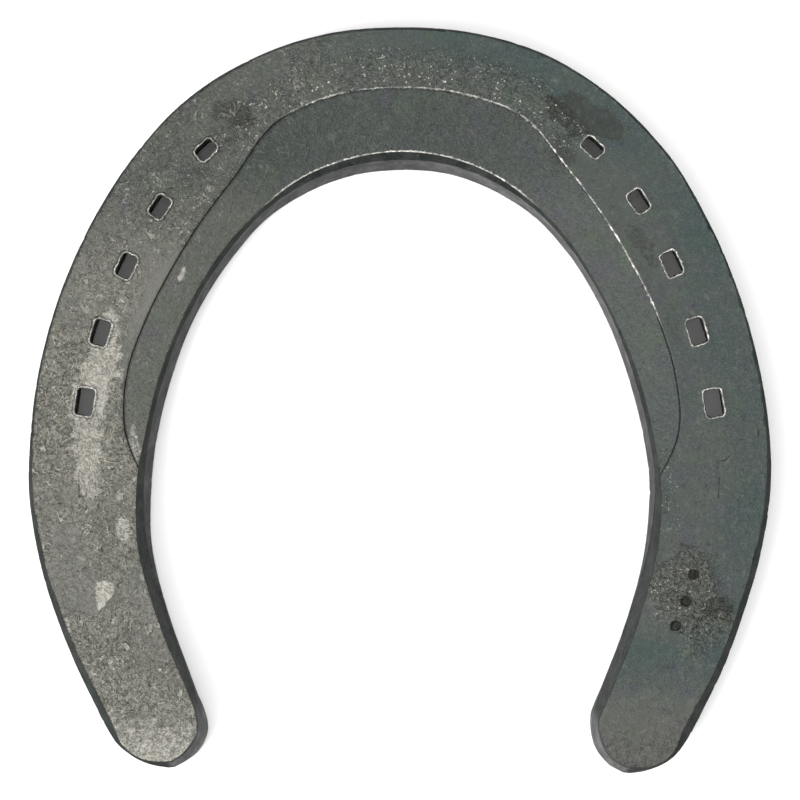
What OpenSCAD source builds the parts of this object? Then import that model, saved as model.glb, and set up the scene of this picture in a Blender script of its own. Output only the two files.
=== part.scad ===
// Forged steel horseshoe, one solid piece, foot side up.
// Origin: middle of the outline on the ground face. +Y is the toe, +Z faces the hoof.

/* [Outline] */
// Widest width across the two branches
shoe_width = 140; // [120:1:160]
// Length from the toe to the longer heel
shoe_length = 141; // [122:1:160]
// Thickness of the steel
thickness = 10; // [8:0.5:12]
// How much shorter the left branch is than the right
left_heel_trim = 0.8; // [0:0.1:3]

/* [Foot surface] */
// Small step down where the relieved sole area starts
seat_step = 0.3; // [0.1:0.1:0.6]
// Fall of the relieved area, per mm towards the inner edge
seat_slope = 0.18; // [0.1:0.02:0.22]
// Drop of the outer edge bevel that runs back to the heels
boxing_drop = 2.2; // [1:0.2:3]

/* [Nailing] */
// Nail holes in each branch
holes_per_branch = 5; // [3:1:5]
// Distance of the nail line from the outer edge
nail_inset = 9.8; // [8:0.2:11]
// Length of the toe nail hole at the foot surface
hole_length = 4; // [3.4:0.2:5]
// Width of the toe nail hole at the foot surface
hole_width = 2.7; // [2:0.1:3.2]
// How much longer each hole is than the one before, towards the heel
hole_growth = 0.3; // [0:0.05:0.4]
// Widening of a nail hole towards the ground, per mm
hole_taper = 0.1; // [0.04:0.02:0.14]

/* [Crease] */
// Width of the crease at the ground face
crease_width = 7; // [6:0.5:8]
// Width of the crease floor
crease_floor = 5; // [4.5:0.25:5.5]
// Depth of the crease
crease_depth = 5; // [3:0.5:6]

/* [Stamp] */
// Diameter of each round punch mark
dot_diameter = 2; // [1:0.2:3]
// Depth of the punch marks
dot_depth = 0.4; // [0.2:0.1:0.8]

/* [Part shown] */
// Piece to draw

/* [Hidden] */
edge_break = 0.7;        // small chamfer round the ground face
row_steps = 3;           // rows of facets between two stations
hole_first = 3.15;       // station of the toe nail
hole_pitch = 1.1;        // stations from one nail to the next
crease_start = 2.45;     // stations where the crease begins and ends
crease_end = 8.5;
dot_station = 11;        // station of the middle punch mark

// Stations from the toe (0) to the end of a heel, right branch.
// Outer edge x, y, then inner edge x, y at the ground face.
edge_stations = [
    [ 0.0,  70.6,  0.0,  44.5],
    [14.7,  69.2,  9.1,  43.5],
    [28.6,  64.5, 17.8,  40.4],
    [40.9,  56.6, 25.5,  35.4],
    [50.8,  46.0, 31.8,  28.8],
    [58.2,  33.9, 36.8,  21.5],
    [63.8,  21.1, 41.0,  13.1],
    [67.8,   7.4, 44.3,   3.6],
    [69.8,  -5.7, 46.8,  -6.3],
    [70.1, -17.7, 48.0, -16.1],
    [68.2, -29.8, 47.6, -26.6],
    [65.3, -39.8, 46.0, -35.3],
    [61.6, -49.8, 43.1, -44.4],
    [57.6, -58.2, 40.2, -52.1],
    [55.4, -62.7, 38.3, -56.9],
    [53.1, -65.9, 37.1, -60.3],
    [50.9, -67.9, 36.8, -63.8],
    [48.5, -69.2, 37.7, -66.8],
    [46.0, -70.2, 39.5, -69.2],
    [43.5, -70.5, 42.3, -70.5]
];

// Shape at the same stations: width of the relieved area, inner bevel width,
// inner wall lean, inner bevel drop, outer bevel width, turn of the bevels
// towards the middle of the heel.
shape_stations = [
    [14.4, 2.6, 1.2, 3.6, 0.5, 0.0],
    [14.4, 2.3, 1.1, 3.6, 0.5, 0.0],
    [13.6, 2.0, 0.9, 3.6, 0.5, 0.0],
    [ 9.7, 1.1, 0.6, 3.2, 0.5, 0.0],
    [ 8.2, 1.1, 0.4, 3.0, 0.45, 0.0],
    [ 7.6, 0.8, 0.4, 3.0, 0.45, 0.0],
    [ 7.6, 1.0, 0.5, 3.0, 0.5, 0.0],
    [ 7.5, 1.2, 0.6, 3.0, 0.55, 0.0],
    [ 5.5, 1.2, 0.6, 3.0, 0.7, 0.0],
    [-0.1, 1.4, 0.6, 3.5, 1.0, 0.0],
    [-6.0, 1.5, 0.4, 5.5, 1.2, 0.0],
    [-6.0, 1.2, 0.2, 8.0, 1.4, 0.0],
    [-6.0, 1.1, 0.1, 8.5, 1.6, 0.0],
    [-6.0, 0.8, 0.1, 8.5, 1.9, 0.0],
    [-6.0, 0.8, 0.1, 7.0, 1.9, 0.1],
    [-6.0, 0.9, 0.1, 5.0, 1.0, 0.4],
    [-6.0, 1.3, 0.2, 5.0, 0.6, 0.7],
    [-6.0, 1.7, 0.2, 4.8, 0.6, 1.0],
    [-6.0, 1.9, 0.2, 3.8, 1.0, 1.0],
    [-6.0, 1.6, 0.1, 2.3, 1.5, 1.0]
];

heel_middle = [45.4, -61];      // where the bevels at a heel end point to
last = len(edge_stations) - 1;
x_scale = shoe_width / 140.452;
y_scale = shoe_length / 141.1;
y_middle = -0.05;                // puts the middle of the outline at y = 0
heel_from = 13;                  // the heel trim fades in from this station

function clamp01(v) = max(0, min(1, v));
function unit(v) = v / norm(v);
function mix(a, b, k) = a + (b - a) * k;

// Smooth curve through the stations; rows past the toe are the other branch.
function toe_mirror(r) = len(r) == 4 ? [-r[0], r[1], -r[2], r[3]] : r;
function row(t, i) = i < 0 ? toe_mirror(t[-i]) : t[min(i, last)];
function smooth(a, b, c, d, f) =
    0.5 * (2 * b + (c - a) * f + (2 * a - 5 * b + 4 * c - d) * pow(f, 2)
    + (3 * b - a - 3 * c + d) * pow(f, 3));
function at(t, u) =
    let (i = min(floor(u), last - 1))
    smooth(row(t, i - 1), row(t, i), row(t, i + 1), row(t, i + 2), u - i);

// Plan points at station u of one branch (side 1 is right, -1 is left).
function trim(u, side) = side < 0 ? left_heel_trim * clamp01((u - heel_from) / 3) : 0;
function place(p, u, side) =
    [side * p[0] * x_scale, (p[1] + trim(u, side) + y_middle) * y_scale];
function outer(u, side) = let (e = at(edge_stations, u)) place([e[0], e[1]], u, side);
function inner(u, side) = let (e = at(edge_stations, u)) place([e[2], e[3]], u, side);

// A point moved in from one edge, towards the other edge or the heel middle.
function move_in(p, q, u, side, dist) =
    let (turn = clamp01(at(shape_stations, u)[5]))
    p + dist * unit(mix(q, place(heel_middle, u, side), turn) - p);
function from_outer(u, side, dist) = move_in(outer(u, side), inner(u, side), u, side, dist);
function from_inner(u, side, dist) = move_in(inner(u, side), outer(u, side), u, side, dist);
function raise(p, z) = [p[0], p[1], z];

// Ring of points round the section at station u, starting under the outer edge.
function section(u, side) =
    let (s = at(shape_stations, u))
    let (relief = max(0, s[0] - s[1]))
    let (step = seat_step * clamp01(relief / 2))
    let (seat = max(s[0], s[1] + 0.4))
    let (crest_z = thickness - step - seat_slope * relief)
    let (bevel_z = min(crest_z - 0.6, thickness * (1 - s[3] / 10)))
    let (foot_break = min(edge_break, 0.3 * norm(outer(u, side) - inner(u, side))))
    [
        raise(from_outer(u, side, foot_break), 0),
        raise(outer(u, side), edge_break),
        raise(outer(u, side), thickness - boxing_drop * s[4] / 1.6),
        raise(from_outer(u, side, s[4]), thickness),
        raise(from_inner(u, side, seat), thickness),
        raise(from_inner(u, side, seat - 0.2), thickness - step),
        raise(from_inner(u, side, s[1]), crest_z),
        raise(from_inner(u, side, s[2]), bevel_z),
        raise(inner(u, side), edge_break),
        raise(from_inner(u, side, foot_break), 0)
    ];

// Triangles that fill a ring of n points.
function fan(n) = [for (k = [1 : n - 2]) [0, k, k + 1]];

// Solid made by joining rings of points; each ring runs clockwise seen from behind.
module skin(rings, caps) {
    n = len(rings[0]);
    points = [for (r = rings) each r];
    sides = [
        for (i = [0 : len(rings) - 2], j = [0 : n - 1])
            let (a = i * n + j)
            let (b = i * n + (j + 1) % n)
            each [[a, b + n, b], [a, a + n, b + n]]
    ];
    end = [for (c = caps) [for (k = [2 : -1 : 0]) c[k] + (len(rings) - 1) * n]];
    polyhedron(points = points, faces = concat(sides, caps, end), convexity = 8);
}

// The forged bar, bent to the outline, with its seat and bevels.
module forging() {
    steps = last * row_steps;
    left = [for (i = [steps : -1 : 1]) section(i / row_steps, -1)];
    right = [for (i = [0 : steps]) section(i / row_steps, 1)];
    cap = [
        [0, 1, 8], [0, 8, 9], [1, 2, 7], [1, 7, 8],
        [2, 3, 6], [2, 6, 7], [3, 4, 5], [3, 5, 6]
    ];
    skin(concat(left, right), cap);
}

// Plan point and direction on the nail line.
function nail_point(u, side) =
    let (o = outer(u, side))
    o + nail_inset * unit(inner(u, side) - o);
function nail_angle(u, side) =
    let (d = nail_point(u + 0.05, side) - nail_point(u - 0.05, side))
    atan2(d[1], d[0]);

// The crease: a tapered groove in the ground face that takes the nail heads.
module crease(side) {
    span = crease_end - crease_start;
    count = 24;
    rings = [
        for (i = [0 : count])
            let (f = i / count)
            let (u = crease_start + span * f)
            let (a = nail_angle(u, side) + 90)
            let (across = [cos(a), sin(a)])
            let (c = nail_point(u, side))
            let (ease = sqrt(clamp01(min(f, 1 - f) * 9 + 0.02)))
            let (top = crease_depth * ease)
            let (w = mix(crease_width, crease_floor, ease) / 2)
            let (wide = crease_width / 2 * mix(0.5, 1, ease))
            [
                raise(c + wide * across, -1),
                raise(c + min(w, wide - 0.1) * across, top),
                raise(c - min(w, wide - 0.1) * across, top),
                raise(c - wide * across, -1)
            ]
    ];
    skin(rings, fan(4));
}

// Ring of eight points: a rectangle with its corners taken off, turned to the nail line.
function hole_ring(c, angle, size, z) =
    let (x = size[0] / 2, y = size[1] / 2, cut = 0.22 * size[1])
    [
        for (p = [
            [x, cut - y], [x, y - cut], [x - cut, y], [cut - x, y],
            [-x, y - cut], [-x, cut - y], [cut - x, -y], [x - cut, -y]
        ])
            [c[0] + p[0] * cos(angle) - p[1] * sin(angle),
             c[1] + p[0] * sin(angle) + p[1] * cos(angle), z]
    ];

// One tapered nail hole, cut right through and wider at the ground.
module nail_hole(number, side) {
    over = 1;
    u = hole_first + number * hole_pitch;
    c = nail_point(u, side);
    angle = nail_angle(u, side);
    size = [hole_length, hole_width] + number * hole_growth * [1, 0.57];
    grow = hole_taper * thickness * [1, 0.6];
    skin(
        [hole_ring(c, angle, size + grow, -over), hole_ring(c, angle, size, thickness + over)],
        fan(8)
    );
}

// Three plain round punch marks on the right heel branch.
module punch_marks() {
    for (i = [-1 : 1]) {
        u = dot_station + i * 0.55;
        middle = mix(outer(u, 1), inner(u, 1), 0.46);
        translate(raise(middle, thickness - dot_depth))
            cylinder(d1 = dot_diameter * 0.5, d2 = dot_diameter + 0.2, h = dot_depth + 0.1, $fn = 32);
    }
}

module shoe() {
    color([0.33, 0.35, 0.34])
        difference() {
            forging();
            for (side = [-1, 1]) {
                crease(side);
                for (i = [0 : holes_per_branch - 1]) {
                    nail_hole(i, side);
                }
            }
            punch_marks();
        }
}

shoe();
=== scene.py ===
import math

import bmesh
import bpy
import numpy as np
from mathutils import Matrix, Vector


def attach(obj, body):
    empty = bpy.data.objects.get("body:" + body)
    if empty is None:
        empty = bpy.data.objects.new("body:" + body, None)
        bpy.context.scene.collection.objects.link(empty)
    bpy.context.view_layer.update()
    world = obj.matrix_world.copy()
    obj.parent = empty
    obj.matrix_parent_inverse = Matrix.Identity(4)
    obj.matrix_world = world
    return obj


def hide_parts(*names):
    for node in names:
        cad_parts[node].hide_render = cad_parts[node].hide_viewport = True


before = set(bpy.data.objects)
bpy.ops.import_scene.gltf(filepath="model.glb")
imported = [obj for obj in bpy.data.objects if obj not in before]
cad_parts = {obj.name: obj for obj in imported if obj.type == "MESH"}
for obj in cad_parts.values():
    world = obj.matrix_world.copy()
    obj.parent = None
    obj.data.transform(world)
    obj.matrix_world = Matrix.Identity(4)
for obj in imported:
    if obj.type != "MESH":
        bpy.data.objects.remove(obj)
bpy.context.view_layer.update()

# The forged shoe, foot side up. Sizes are in millimetres until the mesh is made.
# +Y is the toe, +Z faces the hoof and the ground face lies at z = 0.
MM = 0.001
THICK = 10.0
ROW_PITCH = 0.41            # spacing of the sections along the bar
EDGE_BREAK = 0.7            # chamfer round the ground face
SEAT_STEP = 0.3             # crisp step down into the relieved seat
SEAT_SLOPE = 0.18           # fall of the seat for each mm inwards
BOXING_DROP = 2.2           # height of the outer bevel where it is 1.6 mm wide
NAIL_INSET = 9.8            # nail line inside the outer edge
NAIL_INSET_TOE = 7.2        # where the line's columns run at the toe, which has no nails
HOLE_BLOCK = 1.4            # half width of the columns that a nail hole is shaped from
HOLE_FIRST, HOLE_PITCH, HOLES = 3.15, 1.1, 5
HOLE_CORNER = 0.7           # corner radius of a hole
# Rings down the wall of a hole: depth in mm and how far it pulls in below the mouth.
HOLE_LEVELS = [(0.10, 0.97), (0.30, 0.94), (0.7, 0.93)] + [(1.0 + 0.8 * k, 0.93) for k in range(5)]
CREASE_FROM, CREASE_TO, CREASE_DEPTH = 2.45, 8.5, 5.0
CREASE_HALF, CREASE_FLOOR_HALF = 3.5, 2.5
FAR_FROM_HOLE, FAR_FROM_CRACK = 6.0, 5.0    # distances kept where neither is near
HEEL_MIDDLE = (45.4, -61.0)  # what the bevels turn towards round the right heel
HEEL_TRIM = 1.0              # how much nearer to the toe that is on the left

# Stations from the toe to the tip of a heel: outer edge x, y, inner edge x, y.
# The branches were forged by hand, so they differ by a few tenths of a millimetre.
RIGHT_EDGES = np.array([
    [0.0, 70.6, 0.0, 44.5], [14.7, 69.3, 9.2, 43.7], [28.7, 64.8, 17.9, 40.6],
    [41.0, 56.8, 25.7, 35.6], [51.1, 46.2, 32.0, 29.0], [58.4, 34.0, 36.9, 21.6],
    [63.9, 21.1, 41.0, 13.2], [67.8, 7.4, 44.3, 3.6], [69.9, -5.7, 46.8, -6.3],
    [70.1, -17.7, 48.1, -16.1], [68.2, -29.7, 47.4, -26.6], [65.3, -39.8, 45.7, -35.2],
    [61.7, -49.8, 42.9, -44.3], [57.7, -58.3, 40.0, -52.0], [55.2, -63.1, 37.9, -57.0],
    [53.0, -66.1, 36.7, -60.4], [50.9, -68.0, 36.8, -63.8], [48.4, -69.3, 37.7, -66.8],
    [46.0, -70.1, 39.6, -69.2], [43.6, -70.5, 42.4, -70.5],
])
LEFT_EDGES = np.array([
    [0.0, 70.6, 0.0, 44.5], [14.7, 69.1, 9.1, 43.4], [28.5, 64.3, 17.7, 40.2],
    [40.7, 56.5, 25.4, 35.2], [50.5, 45.7, 31.5, 28.6], [58.1, 33.8, 36.6, 21.4],
    [63.8, 21.1, 40.9, 13.1], [67.8, 7.4, 44.3, 3.6], [69.7, -5.7, 46.7, -6.3],
    [70.1, -17.7, 47.9, -16.1], [68.3, -29.8, 47.9, -26.6], [65.4, -39.8, 46.2, -35.4],
    [61.5, -49.8, 43.3, -44.5], [57.5, -58.2, 40.4, -52.2], [55.5, -62.1, 38.8, -56.5],
    [53.2, -65.2, 37.5, -59.6], [50.9, -67.0, 36.8, -62.9], [48.5, -68.4, 37.6, -65.9],
    [46.0, -69.3, 39.5, -68.4], [43.5, -69.8, 42.3, -69.8],
])
# At the same stations: width of the relieved seat, inner bevel width, inner wall lean,
# inner bevel drop, outer bevel width, turn of the bevels towards the heel middle.
SHAPE = np.array([
    [14.4, 2.6, 1.2, 3.6, 0.5, 0.0], [14.3, 2.3, 1.1, 3.6, 0.5, 0.0],
    [13.9, 1.9, 0.9, 3.6, 0.5, 0.0], [10.3, 1.1, 0.6, 3.2, 0.5, 0.0],
    [8.7, 0.9, 0.4, 3.0, 0.45, 0.0], [8.2, 0.7, 0.4, 3.0, 0.45, 0.0],
    [8.2, 0.9, 0.5, 3.0, 0.5, 0.0], [8, 1.3, 0.6, 3.0, 0.55, 0.0],
    [6.1, 1.3, 0.6, 3.0, 0.7, 0.0], [0.3, 1.4, 0.6, 3.5, 1.0, 0.0],
    [-6, 1.7, 0.4, 5.5, 1.2, 0.0], [-6, 1.4, 0.2, 8, 1.4, 0.0],
    [-6, 1.4, 0.1, 8.5, 1.6, 0.0], [-6, 1.2, 0.1, 8.5, 1.9, 0.0],
    [-6, 1.2, 0.1, 7, 1.9, 0.1], [-6, 1.1, 0.1, 5.0, 1.0, 0.4],
    [-6, 1.5, 0.2, 5.0, 0.6, 0.7], [-6, 1.7, 0.2, 4.8, 0.6, 1.0],
    [-6, 1.9, 0.2, 3.8, 1.0, 1.0], [-6, 1.6, 0.1, 2.3, 1.5, 1.0],
])
# The left branch has its own seat and inner bevel widths.
LEFT_SEAT_AND_BEVEL = np.array([
    (14.4, 2.6), (14.4, 2.3), (13.3, 2.0), (9.0, 1.1), (7.7, 1.2),
    (7.1, 1.0), (7.1, 1.0), (7.1, 1.2), (4.9, 1.2), (-0.4, 1.5),
    (-6.0, 1.4), (-6.0, 1.1), (-6.0, 0.9), (-6.0, 0.5), (-6.0, 0.3),
    (-6.0, 0.6), (-6.0, 1.1), (-6.0, 1.7), (-6.0, 1.9), (-6.0, 1.6),
])
LAST = len(RIGHT_EDGES) - 1

# Columns round the section: name of each feature line and the cells up to the next.
COLUMNS = [
    ("ground_out", 2), ("wall_out_low", 6), ("wall_out_top", 6), ("foot_out", 16),
    ("hole_out", 8), ("hole_in", 8), ("seat", 2), ("seat_low", 22), ("crest", 6),
    ("bevel_low", 8), ("wall_in_low", 2), ("ground_in", 7), ("lip_in", 4),
    ("floor_in", 10), ("floor_out", 4), ("lip_out", 5),
]
CELLS = dict(COLUMNS)
START = {}
RING = 0
for column, cells in COLUMNS:
    START[column] = RING
    RING += cells
# First columns of the blocks of cells that the nail holes pierce, above and in the crease.
HOLE_TOP, HOLE_LOW = START["hole_out"], START["floor_in"] + 1
SOFT = [0.0, 0.08, 0.3, 0.7, 0.92, 1.0]
# Material numbers of the faces.
FOOT_FINISH, EDGE_FINISH, HOLE_FINISH = 0, 1, 2


# ---------------------------------------------------------------- small maths
def smoothstep(a, b, v):
    t = np.clip((v - a) / (b - a), 0.0, 1.0)
    return t * t * (3 - 2 * t)


def mix(a, b, k):
    return a + (b - a) * k


def unit(v):
    return v / np.maximum(np.linalg.norm(v, axis=-1, keepdims=True), 1e-9)


def lattice(ix, iy, iz, seed):
    """A fixed random value from -1 to 1 at each whole-number point."""
    h = (ix * 374761393 + iy * 668265263 + iz * 1440662683 + seed * 974634777) & 0xFFFFFFFF
    h = ((h ^ (h >> 13)) * 1274126177) & 0xFFFFFFFF
    h = ((h ^ (h >> 15)) * 2246822519) & 0xFFFFFFFF
    return ((h ^ (h >> 16)) & 0xFFFFFF) / float(0x7FFFFF) - 1.0


def noise(p, size, seed):
    """Smooth noise from -1 to 1 with lumps about size mm across."""
    q = p / size
    base = np.floor(q).astype(np.int64)
    f = q - base
    f = f * f * f * (f * (f * 6 - 15) + 10)
    out = np.zeros(p.shape[:-1])
    for dx in (0, 1):
        wx = f[..., 0] if dx else 1 - f[..., 0]
        for dy in (0, 1):
            wy = f[..., 1] if dy else 1 - f[..., 1]
            for dz in (0, 1):
                wz = f[..., 2] if dz else 1 - f[..., 2]
                out += wx * wy * wz * lattice(
                    base[..., 0] + dx, base[..., 1] + dy, base[..., 2] + dz, seed)
    return out


def fbm(p, size, octaves, seed):
    """Noise with finer and fainter noise on top, from -1 to 1."""
    out, amp, total = 0.0, 1.0, 0.0
    for k in range(octaves):
        out = out + amp * noise(p + 17.3 * k, size / 2 ** k, seed + k)
        total += amp
        amp *= 0.5
    return out / total


def line_distance(xy, points):
    """Distance in mm from each plan point to a polyline."""
    best = np.full(xy.shape[:-1], 1e9)
    for a, b in zip(points[:-1], points[1:]):
        a, b = np.array(a, float), np.array(b, float)
        d = b - a
        t = np.clip(((xy - a) @ d) / (d @ d), 0, 1)
        best = np.minimum(best, np.linalg.norm(xy - (a + t[..., None] * d), axis=-1))
    return best


def spot(xy, x, y, rx, ry, turn=0.0):
    """1 at the middle of an oval patch, 0 at its rim and below 0 outside."""
    c, s = math.cos(math.radians(turn)), math.sin(math.radians(turn))
    dx, dy = xy[..., 0] - x, xy[..., 1] - y
    u, v = (dx * c + dy * s) / rx, (-dx * s + dy * c) / ry
    return 1 - np.sqrt(u * u + v * v)


# ------------------------------------------------------------------- outline
def station_tables():
    """Both branches as one run of stations, left heel tip to right heel tip."""
    left = LEFT_EDGES * [-1, 1, -1, 1]
    edges = np.vstack([left[:0:-1], RIGHT_EDGES])
    left_shape = SHAPE.copy()
    left_shape[:, :2] = LEFT_SEAT_AND_BEVEL
    shape = np.vstack([left_shape[:0:-1], SHAPE])
    return edges, shape


def curve_at(table, q):
    """Smooth curve through the rows of a table, at positions q."""
    n = len(table)
    i = np.clip(np.floor(q).astype(int), 0, n - 2)
    f = (q - i)[:, None]
    a = table[np.clip(i - 1, 0, n - 1)]
    b, c = table[i], table[i + 1]
    d = table[np.clip(i + 2, 0, n - 1)]
    return 0.5 * (2 * b + (c - a) * f + (2 * a - 5 * b + 4 * c - d) * f ** 2
                  + (3 * b - a - 3 * c + d) * f ** 3)


def even_rows(edges):
    """Positions along the stations that are evenly spaced in mm."""
    q = np.linspace(0, 2 * LAST, 6000)
    e = curve_at(edges, q)
    step = np.diff(e, axis=0)
    ds = 0.5 * (np.linalg.norm(step[:, :2], axis=1) + np.linalg.norm(step[:, 2:], axis=1))
    s = np.concatenate([[0], np.cumsum(ds)])
    return np.interp(np.linspace(0, s[-1], int(round(s[-1] / ROW_PITCH)) + 1), s, q)


class Outline:
    """The plan curves of the shoe and its section sizes at every row."""

    def __init__(self):
        edges, shape = station_tables()
        self.q = even_rows(edges)
        self.u = np.abs(self.q - LAST)
        self.side = np.where(self.q < LAST, -1.0, 1.0)
        e = curve_at(edges, self.q)
        self.outer, self.inner = e[:, :2], e[:, 2:]
        sh = curve_at(shape, self.q)
        self.seat, self.crest, self.lean, self.fall, self.boxing = sh[:, :5].T
        self.turn = np.clip(sh[:, 5], 0, 1)
        self.width = np.linalg.norm(self.outer - self.inner, axis=1)
        trim = np.where(self.side < 0, HEEL_TRIM, 0.0)
        self.heel = np.stack([self.side * HEEL_MIDDLE[0], HEEL_MIDDLE[1] + trim], axis=1)
        t = self.turn[:, None]
        self.from_out = unit(mix(self.inner, self.heel, t) - self.outer)
        self.from_in = unit(mix(self.outer, self.heel, t) - self.inner)

    def out_point(self, dist):
        return self.outer + self.from_out * np.asarray(dist)[..., None]

    def in_point(self, dist):
        return self.inner + self.from_in * np.asarray(dist)[..., None]


def lift(xy, z):
    """Plan points with a height added."""
    z = np.broadcast_to(z, xy.shape[:-1])
    return np.concatenate([xy, z[..., None]], axis=-1)


def seat_height(o, to_inner):
    """Height of the foot surface at a distance from the inner edge."""
    relief = np.clip(o.seat - to_inner, 0, None)
    fade = np.clip((o.seat - o.crest) / 2, 0, 1)
    return THICK - SEAT_STEP * fade * smoothstep(0, 0.18, relief) - SEAT_SLOPE * relief


def crease_ease(u):
    """How deep the crease is at a station, from 0 past its ends to 1."""
    f = (u - CREASE_FROM) / (CREASE_TO - CREASE_FROM)
    return np.sqrt(np.clip(np.minimum(f, 1 - f) * 9 + 0.02, 0, 1)) * ((f > 0) & (f < 1))


def feature_lines(o):
    """The lines that every section has, as plan points with a height."""
    brk = np.minimum(EDGE_BREAK, 0.3 * o.width)
    crest_z = seat_height(o, o.crest)
    bevel_z = np.minimum(crest_z - 0.6, THICK * (1 - o.fall / 10))
    return {
        "ground_out": lift(o.out_point(brk), 0.0),
        "wall_out_low": lift(o.outer, brk),
        "wall_out_top": lift(o.outer, THICK - BOXING_DROP * o.boxing / 1.6),
        "foot_out": lift(o.out_point(o.boxing), THICK),
        "crest": lift(o.in_point(o.crest), crest_z),
        "bevel_low": lift(o.in_point(o.lean), bevel_z),
        "wall_in_low": lift(o.inner, brk),
        "ground_in": lift(o.in_point(brk), 0.0),
    }


def fill_walls(grid, line):
    """Columns of the two side walls and their bevels, between the feature lines."""
    runs = [("ground_out", "wall_out_low", None), ("wall_out_low", "wall_out_top", None),
            ("wall_out_top", "foot_out", SOFT), ("crest", "bevel_low", SOFT),
            ("bevel_low", "wall_in_low", None), ("wall_in_low", "ground_in", None)]
    for a, b, ease in runs:
        for k in range(CELLS[a]):
            t = k / CELLS[a] if ease is None else ease[k]
            grid[:, START[a] + k] = mix(line[a], line[b], t)


def fill_top(grid, line, o):
    """Foot surface: columns follow the nail line and the seat line, even at the heels."""
    nail = mix(NAIL_INSET_TOE, NAIL_INSET, smoothstep(1.2, 2.6, o.u))
    first, last = o.boxing, o.width - o.crest
    seat_line = o.width - np.maximum(o.seat, o.crest + 1.2)
    stops = [first, nail - HOLE_BLOCK, nail + HOLE_BLOCK, seat_line, seat_line + 0.2, last]
    names = ["foot_out", "hole_out", "hole_in", "seat", "seat_low"]
    even = smoothstep(9.0, 10.6, o.u)
    top_cells = sum(CELLS[n] for n in names)
    a, b = line["foot_out"][:, :2], line["crest"][:, :2]
    count = 0
    for name, lo, hi in zip(names, stops[:-1], stops[1:]):
        for k in range(CELLS[name]):
            d = mix(lo, hi, k / CELLS[name])
            t = mix((d - first) / (last - first), count / top_cells, even)
            xy = mix(a, b, t[:, None])
            to_inner = np.where(o.u < 10, o.width - mix(first, last, t), 99.0)
            grid[:, START[name] + k] = lift(xy, seat_height(o, to_inner))
            count += 1


def fill_ground(grid, line, o):
    """Ground face with its crease."""
    brk = np.minimum(EDGE_BREAK, 0.3 * o.width)
    ease = crease_ease(o.u)
    half = CREASE_HALF * mix(0.5, 1, ease)
    floor = np.minimum(CREASE_FLOOR_HALF, half - 0.3)
    first, last = o.width - brk, brk
    stops = [first, NAIL_INSET + half, NAIL_INSET + floor, NAIL_INSET - floor,
             NAIL_INSET - half, last]
    depths = [0, 0, 1, 1, 0, 0]
    names = ["ground_in", "lip_in", "floor_in", "floor_out", "lip_out"]
    cells_all = sum(CELLS[n] for n in names)
    even = smoothstep(9.2, 10.8, o.u)
    a, b = line["ground_in"][:, :2], line["ground_out"][:, :2]
    count = 0
    for n, name in enumerate(names):
        for k in range(CELLS[name]):
            f = k / CELLS[name]
            d = mix(stops[n], stops[n + 1], f)
            t = mix((first - d) / (first - last), count / cells_all, even)
            depth = mix(depths[n], depths[n + 1], f) * CREASE_DEPTH * ease
            grid[:, START[name] + k] = lift(mix(a, b, t[:, None]), depth)
            count += 1


def base_grid(o):
    """Rows by columns of points on the forging before its marks."""
    grid = np.zeros((len(o.q), RING, 3))
    line = feature_lines(o)
    fill_walls(grid, line)
    fill_top(grid, line, o)
    fill_ground(grid, line, o)
    return grid


# ---------------------------------------------------------------- nail holes
class Hole:
    """One nail hole: its block of cells, its middle, its turn and its sizes."""

    ROWS, COLS = 10, 8

    def __init__(self, o, k, side):
        u = HOLE_FIRST + HOLE_PITCH * k
        rows = np.where(o.side == side)[0]
        self.mid_row = rows[np.argmin(np.abs(o.u[rows] - u))]
        i = self.mid_row
        self.row0 = i - self.ROWS // 2
        across = unit(o.inner[i] - o.outer[i])
        self.centre = o.outer[i] + NAIL_INSET * across
        ahead = o.outer[i + 2] + NAIL_INSET * unit(o.inner[i + 2] - o.outer[i + 2])
        behind = o.outer[i - 2] + NAIL_INSET * unit(o.inner[i - 2] - o.outer[i - 2])
        self.along = unit(ahead - behind)
        self.across = np.array([self.along[1], -self.along[0]])
        if self.across @ across < 0:
            self.across = -self.across
        self.length = 4.0 + 0.3 * k
        self.breadth = 2.7 + 0.17 * k

    def local(self, xy):
        d = xy - self.centre
        return d @ self.along, d @ self.across

    def edge_distance(self, xy):
        """Distance outside the rounded rectangle of the hole's mouth, in mm."""
        a, b = self.local(xy)
        r = HOLE_CORNER
        da = np.abs(a) - (self.length / 2 - r)
        db = np.abs(b) - (self.breadth / 2 - r)
        outside = np.hypot(np.maximum(da, 0), np.maximum(db, 0))
        return outside + np.minimum(np.maximum(da, db), 0) - r

    def mouth(self, s, t, grow):
        """Plan point on the rounded rim for block position s, t from -1 to 1."""
        r = HOLE_CORNER
        hx, hy = self.length / 2 * grow[0], self.breadth / 2 * grow[1]
        q = np.stack([s * hx, t * hy], axis=-1)
        core = np.stack([np.clip(q[..., 0], r - hx, hx - r),
                         np.clip(q[..., 1], r - hy, hy - r)], axis=-1)
        p = core + r * unit(q - core)
        return self.centre + p[..., :1] * self.along + p[..., 1:] * self.across


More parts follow.
